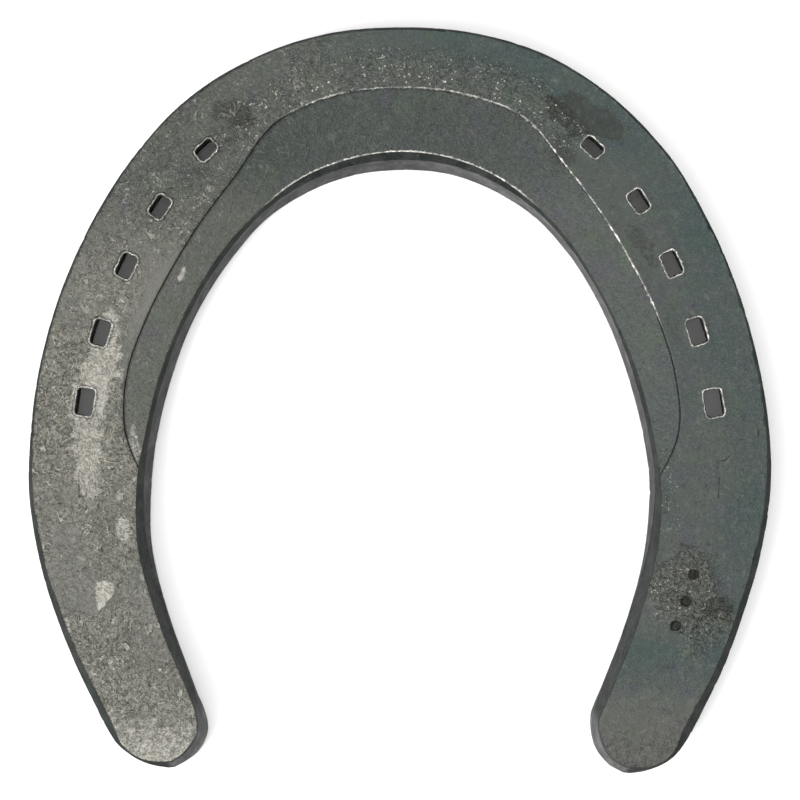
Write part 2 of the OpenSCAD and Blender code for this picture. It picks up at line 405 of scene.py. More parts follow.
def shape_block(grid, hole, col0, sign, grow, reach=2.6):
    """Bends the cells round a hole so that the block's rim is the hole's mouth."""
    half_r, half_c = hole.ROWS / 2, hole.COLS / 2
    mid_c = col0 + half_c
    r0, r1 = int(hole.row0 - 9), int(hole.row0 + hole.ROWS + 10)
    c0, c1 = int(col0 - 6), int(col0 + hole.COLS + 7)
    ii, jj = np.meshgrid(np.arange(r0, r1), np.arange(c0, c1), indexing="ij")
    s, t = (ii - hole.row0 - half_r) / half_r, sign * (jj - mid_c) / half_c
    m = np.maximum(np.maximum(np.abs(s), np.abs(t)), 1e-6)
    rim_i = np.clip(hole.row0 + half_r + s / m * half_r, r0, r1 - 1)
    rim_j = np.clip(mid_c + sign * t / m * half_c, c0, c1 - 1)
    # Where that rim point lies now, read from the grid between its cells.
    fi, fj = np.floor(rim_i).astype(int), np.floor(rim_j).astype(int)
    wi, wj = (rim_i - fi)[..., None], (rim_j - fj)[..., None]
    gi, gj = np.minimum(fi + 1, r1), np.minimum(fj + 1, c1)
    now = (grid[fi, fj, :2] * (1 - wi) * (1 - wj) + grid[gi, fj, :2] * wi * (1 - wj)
           + grid[fi, gj, :2] * (1 - wi) * wj + grid[gi, gj, :2] * wi * wj)
    move = hole.mouth(s / m, t / m, grow) - now
    weight = np.where(m <= 1, 1.0, 1 - smoothstep(1.0, reach, m))
    grid[ii, jj, :2] += move * weight[..., None]


def rim_indices(hole, col0, sign):
    """Grid rows and columns round the block, the same way round for top and floor."""
    r0, n, c = hole.row0, hole.ROWS, hole.COLS
    start = col0 if sign > 0 else col0 + c
    path = [(r0 + k, 0) for k in range(n)] + [(r0 + n, k) for k in range(c)]
    path += [(r0 + n - k, c) for k in range(n)] + [(r0, c - k) for k in range(c)]
    return [(r, start + sign * k) for r, k in path]


# ------------------------------------------------------------ surface detail
# Plan positions in mm of the marks that the forging carries.
CRACKS = [
    [(60.2, -11.8), (60.4, -15.2), (60.2, -18.6)],
    [(60.3, -11.8), (61.7, -11.4), (62.6, -10.7)],
    [(57.5, -14.2), (58.0, -16.6), (58.6, -18.0)],
    [(67.3, -3.0), (67.5, -5.2), (67.9, -6.8)],
    [(51.3, -43.2), (54.0, -44.4), (56.6, -45.3), (59.8, -46.6)],
    [(59.6, -41.0), (62.3, -41.6)], [(60.2, -39.4), (63.0, -39.9)],
    [(-57.9, -21.0), (-57.3, -24.6), (-55.7, -27.4), (-56.3, -30.4)],
    [(-60.4, -14.0), (-60.3, -18.8)],
    [(-60.6, -32.6), (-58.3, -31.6), (-56.2, -32.2)],
    [(-42.4, 34.0), (-43.0, 32.4), (-43.5, 31.3)],
]
FLAKE_EDGE = [(-49.6, 30.2), (-46.6, 29.9), (-44.4, 29.6), (-44.2, 27.2), (-46.8, 23.0),
              (-48.4, 21.0), (-48.5, 18.2), (-50.4, 15.8), (-52.6, 13.5), (-53.3, 10.7),
              (-53.8, 8.0), (-51.6, 6.6)]
PALE_STREAK = [(-54.5, 15.0), (-56.0, 8.5), (-58.0, 1.5), (-58.9, -5.0), (-58.8, -11.0),
               (-58.6, -17.5)]
# Oval marks: x, y, radii along and across, turn in degrees, strength.
PALE_PATCHES = [
    (-52.0, -24.3, 2.0, 3.2, 0, 0.55), (-55.6, -36.6, 2.0, 3.0, -15, 0.75),
    (-62.6, -42.7, 0.8, 1.9, 15, 0.9), (-41.2, 23.5, 1.1, 2.1, -25, 0.42),
    (-53.2, 3.2, 1.8, 4.2, -14, 0.3), (-52.0, -61.0, 6.0, 8.0, 20, 0.2),
    (-49.9, -8.8, 1.6, 4.6, 8, 0.42),
]
BROWN_SMUDGES = [
    (-30.5, 54.2, 5.5, 4.6, -35, 0.65), (33.5, 54.0, 7.0, 4.4, -25, 1.0),
    (-33.0, 49.5, 5.5, 4.0, 50, 0.46), (-40.0, 41.0, 7.5, 4.4, 50, 0.42),
    (-45.0, 31.5, 4.5, 3.0, 60, 0.38), (39.8, 51.4, 4.0, 2.6, -30, 0.8),
    (31.5, 47.0, 3.6, 6.0, 32, 0.55), (54.0, -37.0, 8.0, 9.5, 20, 0.12),
    (-31.0, 60.0, 8.0, 5.0, -25, 0.3), (60.5, -38.8, 4.0, 4.0, 0, 0.5),
    (46.5, 28.5, 2.6, 9.0, 30, 0.50), (52.0, 14.0, 2.0, 8.0, 20, 0.42),
    (54.5, -12.0, 3.0, 8.0, 5, 0.35), (50.0, -17.0, 1.4, 7.0, 0, 0.45),
]
STAMP_PATCH = (54.6, -37.2, 7.4, 10.2, 20)
# Outer limit of the smooth strip beside the seat line on the left branch: y, x.
SMOOTH_STRIP = np.array([
    (8, -53.8), (10.7, -53.3), (13.5, -52.6), (15.8, -50.4), (18.2, -48.5),
    (21, -48.4), (23, -46.8), (27.2, -44.2), (29.6, -44.4),
])
# Plain round marks: x, y and, where they differ, radius.
PUNCH_DOTS = [(55.6, -33.0), (54.1, -38.0), (52.2, -42.6)]
DOT_RADIUS, DOT_DEPTH = 1.05, 0.6
BLISTER_RINGS = [
    (-46.0, 27.8, 1.0), (-57.4, 19.9, 0.9), (-49.6, 24.6, 1.3), (-51.4, 29.0, 0.8),
    (-54.6, 25.2, 0.9), (-60.2, 9.4, 1.0), (-53.0, 9.0, 0.8), (-53.4, -17.2, 1.1),
]
WARTS = [(57.2, -50.1, 0.7), (54.7, -47.6, 0.5), (51.8, -47.4, 0.5), (49.0, -55.0, 0.4)]


class Marks:
    """Where the scale is rough, pale or brown, where painted glints go, and so on, each from 0 to
    1.
    """

    def __init__(self, p, inside, to_edge):
        self.xy = p[..., :2]
        self.x, self.y = self.xy[..., 0], self.xy[..., 1]
        self.inside, self.to_edge = inside, to_edge
        self.wobble = fbm(p, 5.0, 3, 41)
        self.fine = fbm(p, 1.6, 3, 47)
        self.drift = fbm(p, 9.0, 3, 43)
        self.outside = 1 - smoothstep(-0.3, 0.3, inside)
        stamp = spot(self.xy, *STAMP_PATCH) + 0.45 * self.wobble
        self.stamp = smoothstep(-0.25, 0.35, stamp) * (self.x > 0)
        self.toe_band = smoothstep(-9, -5.5, inside) * self.outside * smoothstep(44, 52, self.y)

    def smooth_strip(self):
        x, y = self.x, self.y
        beside = smoothstep(-5.5, -1.0, self.inside) * smoothstep(2, 6, y) * smoothstep(29.5, 27, y)
        limit = np.interp(y, SMOOTH_STRIP[:, 0], SMOOTH_STRIP[:, 1])
        return beside * smoothstep(-0.4, 0.4, x - limit) * (x < 0)

    def rough(self):
        x, y = self.x, self.y
        left = smoothstep(14, -22, x + 6 * self.wobble)
        rough = mix(0.10, 0.85, left) * mix(1.0, 0.5, smoothstep(12, 40, y))
        rough = rough * mix(0.45, 1.0, smoothstep(-0.30, 0.30, self.drift))
        rough = rough * (1 - 0.8 * self.smooth_strip())
        rough = rough * (1 - 0.25 * smoothstep(-16, -24, y) * smoothstep(-46, -38, y))
        seat = 0.12 + 0.10 * smoothstep(0, 30, -x) * smoothstep(8, -8, y)
        rough = mix(seat, rough, self.outside)
        rough = np.maximum(rough, 0.75 * self.stamp)
        rough = np.maximum(rough, 0.30 * smoothstep(-58, -67, y) * (x > 0))
        return np.maximum(rough, 0.35 * self.toe_band)

    def pale(self):
        x, y = self.x, self.y
        streak = line_distance(self.xy, PALE_STREAK) + 1.6 * self.fine + 1.2 * self.wobble
        taper = 1.4 * smoothstep(-8, -20, y) + 1.2 * smoothstep(4, 16, y)
        pale = smoothstep(3.9, 1.6, streak + taper)
        for *oval, strength in PALE_PATCHES:
            patch = smoothstep(0.0, 0.35, spot(self.xy, *oval) + 0.4 * self.fine)
            pale = np.maximum(pale, strength * patch)
        heels = smoothstep(-51, -69, y + 3 * self.wobble) * np.where(x < 0, 0.50, 0.12)
        return np.maximum(pale, heels)

    def brown(self):
        brown = 0.0
        for *oval, strength in BROWN_SMUDGES:
            ragged = spot(self.xy, *oval) + 0.5 * self.wobble + 0.15 * self.fine
            brown = np.maximum(brown, strength * smoothstep(-0.15, 0.55, ragged))
        toe = smoothstep(38, 55, self.y) * self.outside * smoothstep(60, 20, np.abs(self.x))
        return np.maximum(brown, 0.12 * toe)

    # Where the painted glints, small specks of highlight, are scattered.
    def glint_spots(self, rough):
        x, y = self.x, self.y
        inner_edge = smoothstep(-0.4, 0.6, spot(self.xy, 51.5, -18, 2.6, 9, 0))
        beside_seat = smoothstep(-6, -1.5, self.inside) * self.outside
        upper_left = beside_seat * smoothstep(-22, -30, x) * smoothstep(24, 32, y)
        parts = [1.2 * self.toe_band * smoothstep(1.5, 5, self.to_edge), 0.5 * inner_edge,
                 0.7 * self.stamp, 0.8 * upper_left, 0.8 * rough * self.outside * (x < 0)]
        return np.maximum.reduce(parts)

    def masks(self, top):
        rough = self.rough()
        return {
            "rough": np.clip(rough, 0, 1) * top + (1 - top) * 0.35,
            "pale": np.clip(self.pale(), 0, 1) * top,
            "brown": np.clip(self.brown(), 0, 1) * top,
            "glint_spots": np.clip(self.glint_spots(rough), 0, 1) * top,
            # Where the seat step and the toe crest get painted highlight; elsewhere the seat step
            # gets painted shade.
            "seat_rim": smoothstep(-23, -18, self.x) * smoothstep(13, 19, self.y),
            "crest_rim": smoothstep(36, 41, self.y),
        }


def scale_relief(p, rough, top):
    """Height in mm of the scale itself: waves, grain, pits and flakes."""
    h = 0.09 * fbm(p, 17.0, 2, 3) + 0.035 * fbm(p, 5.0, 3, 5)
    grain = fbm(p, 1.5, 2, 11)
    h = h + rough * (0.055 * grain + 0.05 * fbm(p, 0.8, 1, 13))
    pits = np.clip(fbm(p, 1.2, 2, 19) - 0.34, 0, 1)
    h = h - 0.55 * pits * mix(0.15, 1.0, rough)
    # Flakes of scale: low steps with a crisp edge.
    flake = fbm(p, 7.0, 2, 23)
    h = h + 0.055 * (smoothstep(0.05, 0.10, flake) - 0.5) * mix(0.2, 1.0, rough) * top
    edge = line_distance(p[..., :2], FLAKE_EDGE)
    return h + 0.07 * np.exp(-(edge / 0.35) ** 2) * top


def edge_relief(p, top, gaps):
    """Height in mm of the burrs, the ragged crest, the bruised seat line and the cracks."""
    lip = np.exp(-((gaps["hole_mm"] - 0.18) / 0.42) ** 2)
    h = top * lip * (0.20 + 0.07 * fbm(p, 1.8, 2, 29))
    dish = np.exp(-((gaps["hole_mm"] - 1.7) / 1.0) ** 2)
    h = h - 0.035 * top * dish
    toe = smoothstep(30, 42, p[..., 1])
    rag = np.exp(-(gaps["crest_mm"] / 0.35) ** 2) * toe
    h = h + top * rag * (0.05 + 0.10 * fbm(p, 1.4, 2, 31))
    bruise = np.exp(-((gaps["seat_mm"] + 0.25) / 0.35) ** 2) * smoothstep(5, 25, p[..., 1])
    h = h + top * bruise * 0.05 * (0.6 + fbm(p, 1.1, 2, 37))
    return h - 0.09 * top * np.exp(-(gaps["crack_mm"] / 0.22) ** 2)


def round_relief(xy, top):
    """Height in mm of the punch dots, blisters and warts, and the mask of the dots."""
    dots, h = np.zeros(xy.shape[:-1]), np.zeros(xy.shape[:-1])
    for x, y in PUNCH_DOTS:
        r = np.hypot(xy[..., 0] - x, xy[..., 1] - y)
        dots = np.maximum(dots, np.clip(1 - (r / DOT_RADIUS) ** 2, 0, 1) * top)
        h = h + 0.10 * top * np.exp(-((r - DOT_RADIUS - 0.25) / 0.3) ** 2)
    h = h - DOT_DEPTH * np.sqrt(dots)
    for x, y, radius in BLISTER_RINGS:
        r = np.hypot(xy[..., 0] - x, xy[..., 1] - y) / radius
        h = h + 0.14 * top * np.exp(-((r - 1) / 0.35) ** 2)
    for x, y, radius in WARTS:
        r = np.hypot(xy[..., 0] - x, xy[..., 1] - y) / radius
        h = h + 0.18 * top * np.exp(-r ** 2)
    return h, dots


def section_gaps(o, grid, holes):
    """Distances in mm from every point to the seat line, crest, edge, holes and cracks."""
    axis = unit(o.outer - o.inner)
    to_inner = np.einsum("rci,ri->rc", grid[..., :2] - o.inner[:, None], axis)
    to_inner = np.where(o.u[:, None] < 12, to_inner, 30.0)
    inside = o.seat[:, None] - to_inner
    to_crest = to_inner - o.crest[:, None]
    to_edge = o.width[:, None] - to_inner - o.boxing[:, None]
    crest_col, foot_col = START["crest"], START["foot_out"]
    for values in (inside, to_crest, to_edge):
        values[:, crest_col + 1:START["floor_in"]] = values[:, crest_col:crest_col + 1]
        values[:, START["floor_in"]:] = values[:, foot_col:foot_col + 1]
        values[:, :foot_col] = values[:, foot_col:foot_col + 1]
    xy = grid[..., :2]
    hole_gap = np.full(grid.shape[:2], FAR_FROM_HOLE)
    for hole in holes:
        near = slice(max(hole.row0 - 16, 0), hole.row0 + hole.ROWS + 17)
        hole_gap[near] = np.minimum(hole_gap[near], hole.edge_distance(xy[near]))
    crack_gap = np.full(grid.shape[:2], FAR_FROM_CRACK)
    for crack in CRACKS:
        crack_gap = np.minimum(crack_gap, line_distance(xy, crack))
    return {"seat_mm": inside, "crest_mm": to_crest, "edge_mm": to_edge,
            "hole_mm": hole_gap, "crack_mm": crack_gap}


def wall_mask(o, grid):
    """Where the inner wall and the lips of the heels get a lighter grey; on the inner wall it is
    painted reflection of the pale floor, strongest on the upper right.
    """
    cols = np.arange(RING)
    inner_wall = (cols >= START["bevel_low"]) & (cols < START["ground_in"])
    angle = np.degrees(np.arctan2(grid[..., 1], grid[..., 0]))
    # More of the painted floor reflection on the upper right of the inner wall.
    wall = inner_wall * (0.5 + 0.5 * smoothstep(-5, 20, angle) * smoothstep(95, 60, angle))
    lip = np.broadcast_to((cols > START["crest"] + 1) & (cols < START["ground_in"]), wall.shape)
    return np.maximum(wall, lip * smoothstep(14.2, 15.4, o.u)[:, None])


def forging_points(o):
    """The grid with its marks, the holes and every per-point value the materials read."""
    grid = base_grid(o)
    holes = [Hole(o, k, side) for side in (-1, 1) for k in range(HOLES)]
    for hole in holes:
        shape_block(grid, hole, HOLE_TOP, 1, (1.0, 1.0))
        shape_block(grid, hole, HOLE_LOW, -1, (1.15, 1.12))

    cols = np.arange(RING)
    on_top = ((cols >= START["foot_out"]) & (cols <= START["crest"])).astype(float)
    top = np.broadcast_to(on_top, grid.shape[:2])
    gaps = section_gaps(o, grid, holes)
    masks = Marks(grid, gaps["seat_mm"], gaps["edge_mm"]).masks(top)
    round_height, dots = round_relief(grid[..., :2], top)
    height = scale_relief(grid, masks["rough"], top) + edge_relief(grid, top, gaps) + round_height

    along = np.gradient(grid, axis=0)
    around = np.roll(grid, -1, axis=1) - np.roll(grid, 1, axis=1)
    normal = unit(np.cross(around, along))
    if normal[len(o.q) // 2, START["seat"], 2] < 0:
        normal = -normal
    grid = grid + normal * height[..., None]
    grid[..., 2] = np.maximum(grid[..., 2], 0.0)
    return grid, holes, dict(masks, top=top, wall=wall_mask(o, grid), punch=dots, **gaps)


def tip_cap():
    """Column numbers of the faces that close a heel tip, outer wall laced to inner wall."""
    out = list(range(START["foot_out"] + 1))
    inn = list(range(START["ground_in"], START["crest"] - 1, -1))
    faces, i, j = [], 0, 0
    while i < len(out) - 1 or j < len(inn) - 1:
        if (i + 1) * (len(inn) - 1) <= (j + 1) * (len(out) - 1) and i < len(out) - 1:
            faces.append((out[i], out[i + 1], inn[j]))
            i += 1
        else:
            faces.append((out[i], inn[j + 1], inn[j]))
            j += 1
    faces += [(out[-1], c, c + 1) for c in range(out[-1] + 1, inn[-1])]
    faces += [(0, c, c + 1) for c in range(inn[0], RING - 1)]
    return faces


def hole_walls(grid, hole, count):
    """Rings of points down one hole from its mouth to the crease floor, and their quads."""
    upper = [i * RING + j for i, j in rim_indices(hole, HOLE_TOP, 1)]
    lower = [i * RING + j for i, j in rim_indices(hole, HOLE_LOW, -1)]
    n = len(upper)
    flat = grid.reshape(-1, 3)
    a, b = flat[upper], flat[lower]
    middle = a.mean(axis=0)
    depth = (a[:, 2] - b[:, 2]).mean()
    rings, drops, quads, previous = [], [], [], upper
    for drop, shrink in HOLE_LEVELS:
        t = min(drop / depth, 0.93)
        ring = a + (b - a) * t
        pinch = shrink + (1 - shrink) * t
        ring[:, :2] = mix(middle[None, :2], ring[:, :2], pinch)
        rings.append(ring + 0.03 * np.stack([noise(ring, 1.1, 61), noise(ring, 1.1, 62),
                                             0 * ring[:, 0]], axis=-1))
        drops.append(drop)
        ids = list(range(count, count + n))
        quads += [(previous[k], previous[(k + 1) % n], ids[(k + 1) % n], ids[k])
                  for k in range(n)]
        count += n
        previous = ids
    quads += [(previous[k], previous[(k + 1) % n], lower[(k + 1) % n], lower[k])
              for k in range(n)]
    return rings, drops, quads


def hole_value(key, drop):
    """What a per-point value is on the wall of a hole, drop mm below its mouth."""
    inside_hole = {"hole_mm": -0.3 - drop * 0.2, "rough": 0.3, "seat_mm": -4.0,
                   "crest_mm": 4.0, "edge_mm": 4.0, "crack_mm": 4.0}
    return inside_hole.get(key, 0.0)


def skin_faces(rows, holes):
    """Quads of the whole section but for the mouths of the holes, with their materials."""
    keep = np.ones((rows - 1, RING), bool)
    for hole in holes:
        for first in (HOLE_TOP, HOLE_LOW):
            keep[hole.row0:hole.row0 + hole.ROWS, first:first + hole.COLS] = False
    i, j = np.nonzero(keep)
    k = (j + 1) % RING
    quads = np.stack([i * RING + j, (i + 1) * RING + j, (i + 1) * RING + k, i * RING + k], axis=1)
    is_edge = (j < START["foot_out"]) | ((j >= START["crest"]) & (j < START["ground_in"]))
    finish = np.where(is_edge, EDGE_FINISH, FOOT_FINISH)
    return [tuple(q) for q in quads.tolist()], finish.tolist()


def build_mesh(o):
    """Points, faces, the material number of each face and the per-point values."""
    grid, holes, values = forging_points(o)
    rows = grid.shape[0]
    verts = [grid.reshape(-1, 3)]
    data = {key: [v.reshape(-1)] for key, v in values.items()}
    count, walls = rows * RING, []
    for hole in holes:
        rings, drops, quads = hole_walls(grid, hole, count)
        verts += rings
        walls += quads
        for ring, drop in zip(rings, drops):
            count += len(ring)
            for key in data:
                data[key].append(np.full(len(ring), hole_value(key, drop)))
    faces, finish = skin_faces(rows, holes)
    faces += walls
    finish += [HOLE_FINISH] * len(walls)
    for row in (0, rows - 1):
        cap = [tuple(row * RING + c for c in face) for face in tip_cap()]
        faces += cap
        finish += [EDGE_FINISH] * len(cap)

    points = np.vstack(verts)
    used = np.zeros(len(points), bool)
    for face in faces:
        used[list(face)] = True
    new = np.cumsum(used) - 1
    faces = [tuple(int(new[v]) for v in face) for face in faces]
    return points[used], faces, finish, {k: np.concatenate(v)[used] for k, v in data.items()}


def shoe_object():
    points, faces, finish, data = build_mesh(Outline())
    mesh = bpy.data.meshes.new("forged_shoe")
    mesh.from_pydata((points * MM).tolist(), [], faces)
    bm = bmesh.new()
    bm.from_mesh(mesh)
    bmesh.ops.recalc_face_normals(bm, faces=bm.faces)
    bm.to_mesh(mesh)
    bm.free()
    for name, values in data.items():
        layer = mesh.attributes.new(name, "FLOAT", "POINT")
        layer.data.foreach_set("value", values.astype(np.float32))
    mesh.polygons.foreach_set("use_smooth", [True] * len(mesh.polygons))
    for material in (foot_material(), edge_material(), hole_material()):
        mesh.materials.append(material)
    mesh.polygons.foreach_set("material_index", finish)
    obj = bpy.data.objects.new("forged_shoe", mesh)
    bpy.context.scene.collection.objects.link(obj)
    return obj


# ------------------------------------------------------------------ material
class Nodes:
    """Short names for building a node tree."""

    def __init__(self, material):
        material.use_nodes = True
        self.tree = material.node_tree
        self.tree.nodes.clear()
        self.at = self.add("ShaderNodeTexCoord").outputs["Object"]

    def add(self, kind, **inputs):
        node = self.tree.nodes.new(kind)
        for name, value in inputs.items():
            self.put(node.inputs[name.replace("_", " ")], value)
        return node

    def put(self, socket, value):
        if isinstance(value, bpy.types.NodeSocket):
            self.tree.links.new(value, socket)
        else:
            socket.default_value = value

    def math(self, op, a, b=None, clamp=False):
        node = self.tree.nodes.new("ShaderNodeMath")
        node.operation, node.use_clamp = op, clamp
        self.put(node.inputs[0], a)
        if b is not None:
            self.put(node.inputs[1], b)
        return node.outputs[0]

    def plus(self, a, b, clamp=False):
        return self.math("ADD", a, b, clamp)

    def times(self, a, b):
        return self.math("MULTIPLY", a, b)

    def most(self, first, *others):
        for other in others:
            first = self.math("MAXIMUM", first, other)
        return first

    def step(self, value, lo, hi, out_lo=0.0, out_hi=1.0):
        """A soft step from out_lo at lo to out_hi at hi."""
        node = self.tree.nodes.new("ShaderNodeMapRange")
        node.interpolation_type = "SMOOTHSTEP"
        for k, v in enumerate((value, lo, hi, out_lo, out_hi)):
            self.put(node.inputs[k], v)
        return node.outputs[0]

    def mix(self, k, a, b):
        node = self.tree.nodes.new("ShaderNodeMix")
        node.data_type = "RGBA"
        self.put(node.inputs[0], k)
        for socket, v in ((node.inputs[6], a), (node.inputs[7], b)):
            self.put(socket, (*v, 1.0) if isinstance(v, tuple) and len(v) == 3 else v)
        return node.outputs[2]

    def attribute(self, name):
        node = self.tree.nodes.new("ShaderNodeAttribute")
        node.attribute_name = name
        return node.outputs["Fac"]

    def noise(self, size_mm, detail=3.0, rough=0.55, warp=0.0):
        node = self.add("ShaderNodeTexNoise", Vector=self.at, Scale=1000.0 / size_mm,
                        Detail=detail, Roughness=rough, Distortion=warp)
        return node.outputs["Fac"]

    def finish(self, material, colour, gloss, bump, specular, metal=0.0):
        """The surface shader; specular is one value for the whole material."""
        shader = self.add("ShaderNodeBsdfPrincipled", Base_Color=colour, Metallic=metal,
                          Roughness=gloss, Normal=bump.outputs["Normal"])
        shader.inputs["Specular IOR Level"].default_value = specular
        out = self.add("ShaderNodeOutputMaterial")
        self.tree.links.new(shader.outputs["BSDF"], out.inputs["Surface"])
        return material

    def band(self, value, middle, half, soft, wobble=None):
        """1 within half of middle, falling to 0 over soft."""
        gap = self.math("ABSOLUTE", self.math("SUBTRACT", value, middle))
        if wobble is not None:
            gap = self.math("ADD", gap, wobble)
        return self.step(gap, half + soft, half)


class FootScale(Nodes):
    """Fire scale on the foot surface: smooth on one branch, rough and pale on the other."""

    def __init__(self, material):
        super().__init__(material)
        place = self.add("ShaderNodeSeparateXYZ", Vector=self.at)
        self.left = self.step(place.outputs["X"], 0.015, -0.035)
        self.toe = self.step(place.outputs["Y"], 0.034, 0.047)
        self.heel = self.step(place.outputs["Y"], -0.046, -0.064)
        self.low_left = self.times(self.step(place.outputs["Y"], 0.044, 0.018), self.left)
        self.broad = self.noise(16.0, 3.0)
        self.tint = self.noise(4.5, 5.0, 0.65, 0.8)
        self.mottle = self.noise(1.7, 4.0, 0.65, 0.4)
        self.grain = self.noise(0.75, 2.0, 0.55, 0.3)
        self.fine = self.noise(0.30, 2.0, 0.6)
        self.flakes = self.noise(3.4, 2.0, 0.5, 1.2)
        self.speck = self.plus(self.times(self.grain, 0.45), self.times(self.fine, 0.55))
        for name in ("rough", "pale", "brown", "glint_spots", "top", "punch", "seat_rim", "crest_rim",
                     "seat_mm", "crest_mm", "hole_mm", "crack_mm", "edge_mm"):
            setattr(self, name, self.attribute(name))


def smooth_scale(n):
    """Grey, greener to the outside, darker in the seat at the toe."""
    outer = n.plus(n.step(n.edge_mm, 12.0, 4.0, 0.0, 0.75),
                   n.step(n.broad, 0.40, 0.62, -0.2, 0.3), clamp=True)
    colour = n.mix(outer, (0.035, 0.043, 0.038), (0.016, 0.034, 0.031))
    colour = n.mix(n.left, colour, (0.044, 0.050, 0.040))
    toe_seat = n.times(n.toe, n.step(n.seat_mm, -0.3, 0.3))
    colour = n.mix(toe_seat, colour, (0.014, 0.021, 0.018))
    colour = n.mix(n.heel, colour, (0.058, 0.059, 0.050))
    colour = n.mix(n.step(n.tint, 0.52, 0.70, 0.0, 0.6), colour, (0.026, 0.050, 0.027))
    colour = n.mix(n.step(n.tint, 0.47, 0.30, 0.0, 0.6), colour, (0.034, 0.030, 0.050))
    calm = n.step(n.seat_mm, -0.3, 0.3, 0.55, 0.26)
    raised = n.times(n.step(n.mottle, 0.52, 0.74), calm)
    colour = n.mix(raised, colour, (0.085, 0.088, 0.078))
    sunk = n.times(n.step(n.mottle, 0.46, 0.26), n.step(n.left, 0.0, 1.0, 0.55, 0.28))
    colour = n.mix(sunk, colour, (0.006, 0.008, 0.007))
    colour = n.mix(n.step(n.fine, 0.52, 0.72, 0.0, 0.45), colour, (0.085, 0.088, 0.080))
    colour = n.mix(n.step(n.fine, 0.47, 0.32, 0.0, 0.30), colour, (0.010, 0.013, 0.011))
    # Lighter low on the left branch, outside the seat.
    lightened = n.times(n.low_left, n.step(n.seat_mm, 0.2, -0.2))
    lightened = n.times(lightened, n.step(n.edge_mm, 1.0, 8.0, 0.72, 1.0))
    lightened = n.times(lightened, n.step(n.broad, 0.34, 0.62, 0.35, 0.95))
    return n.mix(lightened, colour, (0.098, 0.098, 0.085))


def rough_scale(n):
    """Pale grains over dark pits, palest low on the left branch."""
    dusty = n.mix(n.low_left, (0.115, 0.118, 0.104), (0.250, 0.240, 0.205))
    pits = n.mix(n.low_left, (0.034, 0.036, 0.030), (0.090, 0.088, 0.073))
    patch = n.noise(4.5, 5.0, 0.62)
    colour = n.mix(n.step(n.speck, 0.42, 0.60), pits, dusty)
    colour = n.mix(n.step(patch, 0.44, 0.70, 0.0, 0.5), colour, (0.085, 0.088, 0.076))
    colour = n.mix(n.step(n.tint, 0.55, 0.72, 0.0, 0.4), colour, (0.18, 0.16, 0.11))
    return n.mix(n.step(n.speck, 0.42, 0.34, 0.0, 0.8), colour, (0.016, 0.015, 0.012))


def patches(n, colour):
    """Flake outlines on the rough branch with painted shade at their foot and painted highlight on
    their lip, brown smudges, pale patches and heels.
    """
    parts = n.times(n.step(n.noise(2.2, 2.0, 0.6), 0.44, 0.56), n.times(n.left, n.rough))
    flake_foot_shade = n.times(n.band(n.flakes, 0.482, 0.004, 0.016), parts)
    flake_lip_highlight = n.times(n.band(n.flakes, 0.512, 0.004, 0.018), parts)
    # Painted shade along one side of the flake edges.
    colour = n.mix(n.times(flake_foot_shade, 0.8), colour, (0.030, 0.031, 0.026))
    teeth = n.plus(n.times(n.mottle, 0.6), n.times(n.grain, 0.6))
    stain = n.step(n.plus(n.brown, teeth), 0.98, 1.16)
    stain = n.times(stain, n.step(n.mottle, 0.65, 0.40, 0.45, 0.80))
    colour = n.mix(stain, colour, (0.010, 0.011, 0.008))
    chalk = n.mix(n.step(n.speck, 0.36, 0.64), (0.175, 0.170, 0.146), (0.40, 0.385, 0.34))
    light = n.plus(n.pale, n.times(n.math("SUBTRACT", n.speck, 0.5), 0.8))
    light = n.plus(light, n.times(n.math("SUBTRACT", n.mottle, 0.5), 0.7))
    colour = n.mix(n.step(light, 0.16, 0.70, 0.0, 0.9), colour, chalk)
    # Painted highlight along the other side of the flake edges.
    return n.mix(n.times(flake_lip_highlight, 0.85), colour, (0.42, 0.41, 0.36))


def painted_glints(n):
    # Painted glints: sparse small specks of highlight colour.
    grains = n.step(n.noise(0.46, 1.0, 0.6, 0.4), 0.62, 0.69)
    chosen = n.step(n.noise(2.6, 3.0, 0.7), 0.42, 0.56)
    return n.times(n.times(grains, chosen), n.glint_spots)


def lines(n):
    """Masks of the painted highlights (seat edge, toe crest, hole rims) and of the dark lines:
    painted shade along the seat step, at the hole mouths, beside the burrs and in the punch dots,
    and the dark cracks.
    """
    ragged = n.times(n.math("SUBTRACT", n.noise(0.8, 3.0, 0.7), 0.5), 0.9)
    broken = n.step(n.noise(1.5, 3.0, 0.7), 0.40, 0.56)
    torn = n.plus(n.hole_mm, n.times(ragged, 1.1))
    # Painted highlights: the seat step at the toe and on the right, the toe crest, and the hole
    # rims.
    seat_bright = n.times(n.band(n.seat_mm, -0.10, 0.04, 0.16, ragged), n.seat_rim)
    crest_bright = n.times(n.band(n.crest_mm, 0.08, 0.06, 0.2, ragged), n.crest_rim)
    rim_bright = n.times(n.band(torn, 0.15, 0.04, 0.15), n.top)
    bright = n.most(seat_bright, crest_bright, rim_bright)
    bright = n.times(bright, n.plus(n.times(broken, 0.75), 0.25))
    # Painted shade: the seat step on the rest of the shoe, the hole mouths, and a line beside the
    # burrs on the left branch. The cracks are dark lines.
    seat_shade_side = n.math("SUBTRACT", 1.0, n.seat_rim)
    seat_dark = n.times(n.band(n.seat_mm, 0.06, 0.05, 0.1), seat_shade_side)
    crack = n.times(n.band(n.crack_mm, 0.0, 0.01, 0.14, ragged), 0.6)
    mouth_dark = n.band(n.hole_mm, -0.12, 0.06, 0.10)
    burr_dark = n.times(n.band(torn, 0.46, 0.02, 0.12), n.times(n.left, 0.6))
    dark = n.times(n.most(seat_dark, crack, mouth_dark, burr_dark), n.top)
    # Painted shade in the punch dots.
    return bright, n.most(dark, n.step(n.punch, 0.02, 0.35))


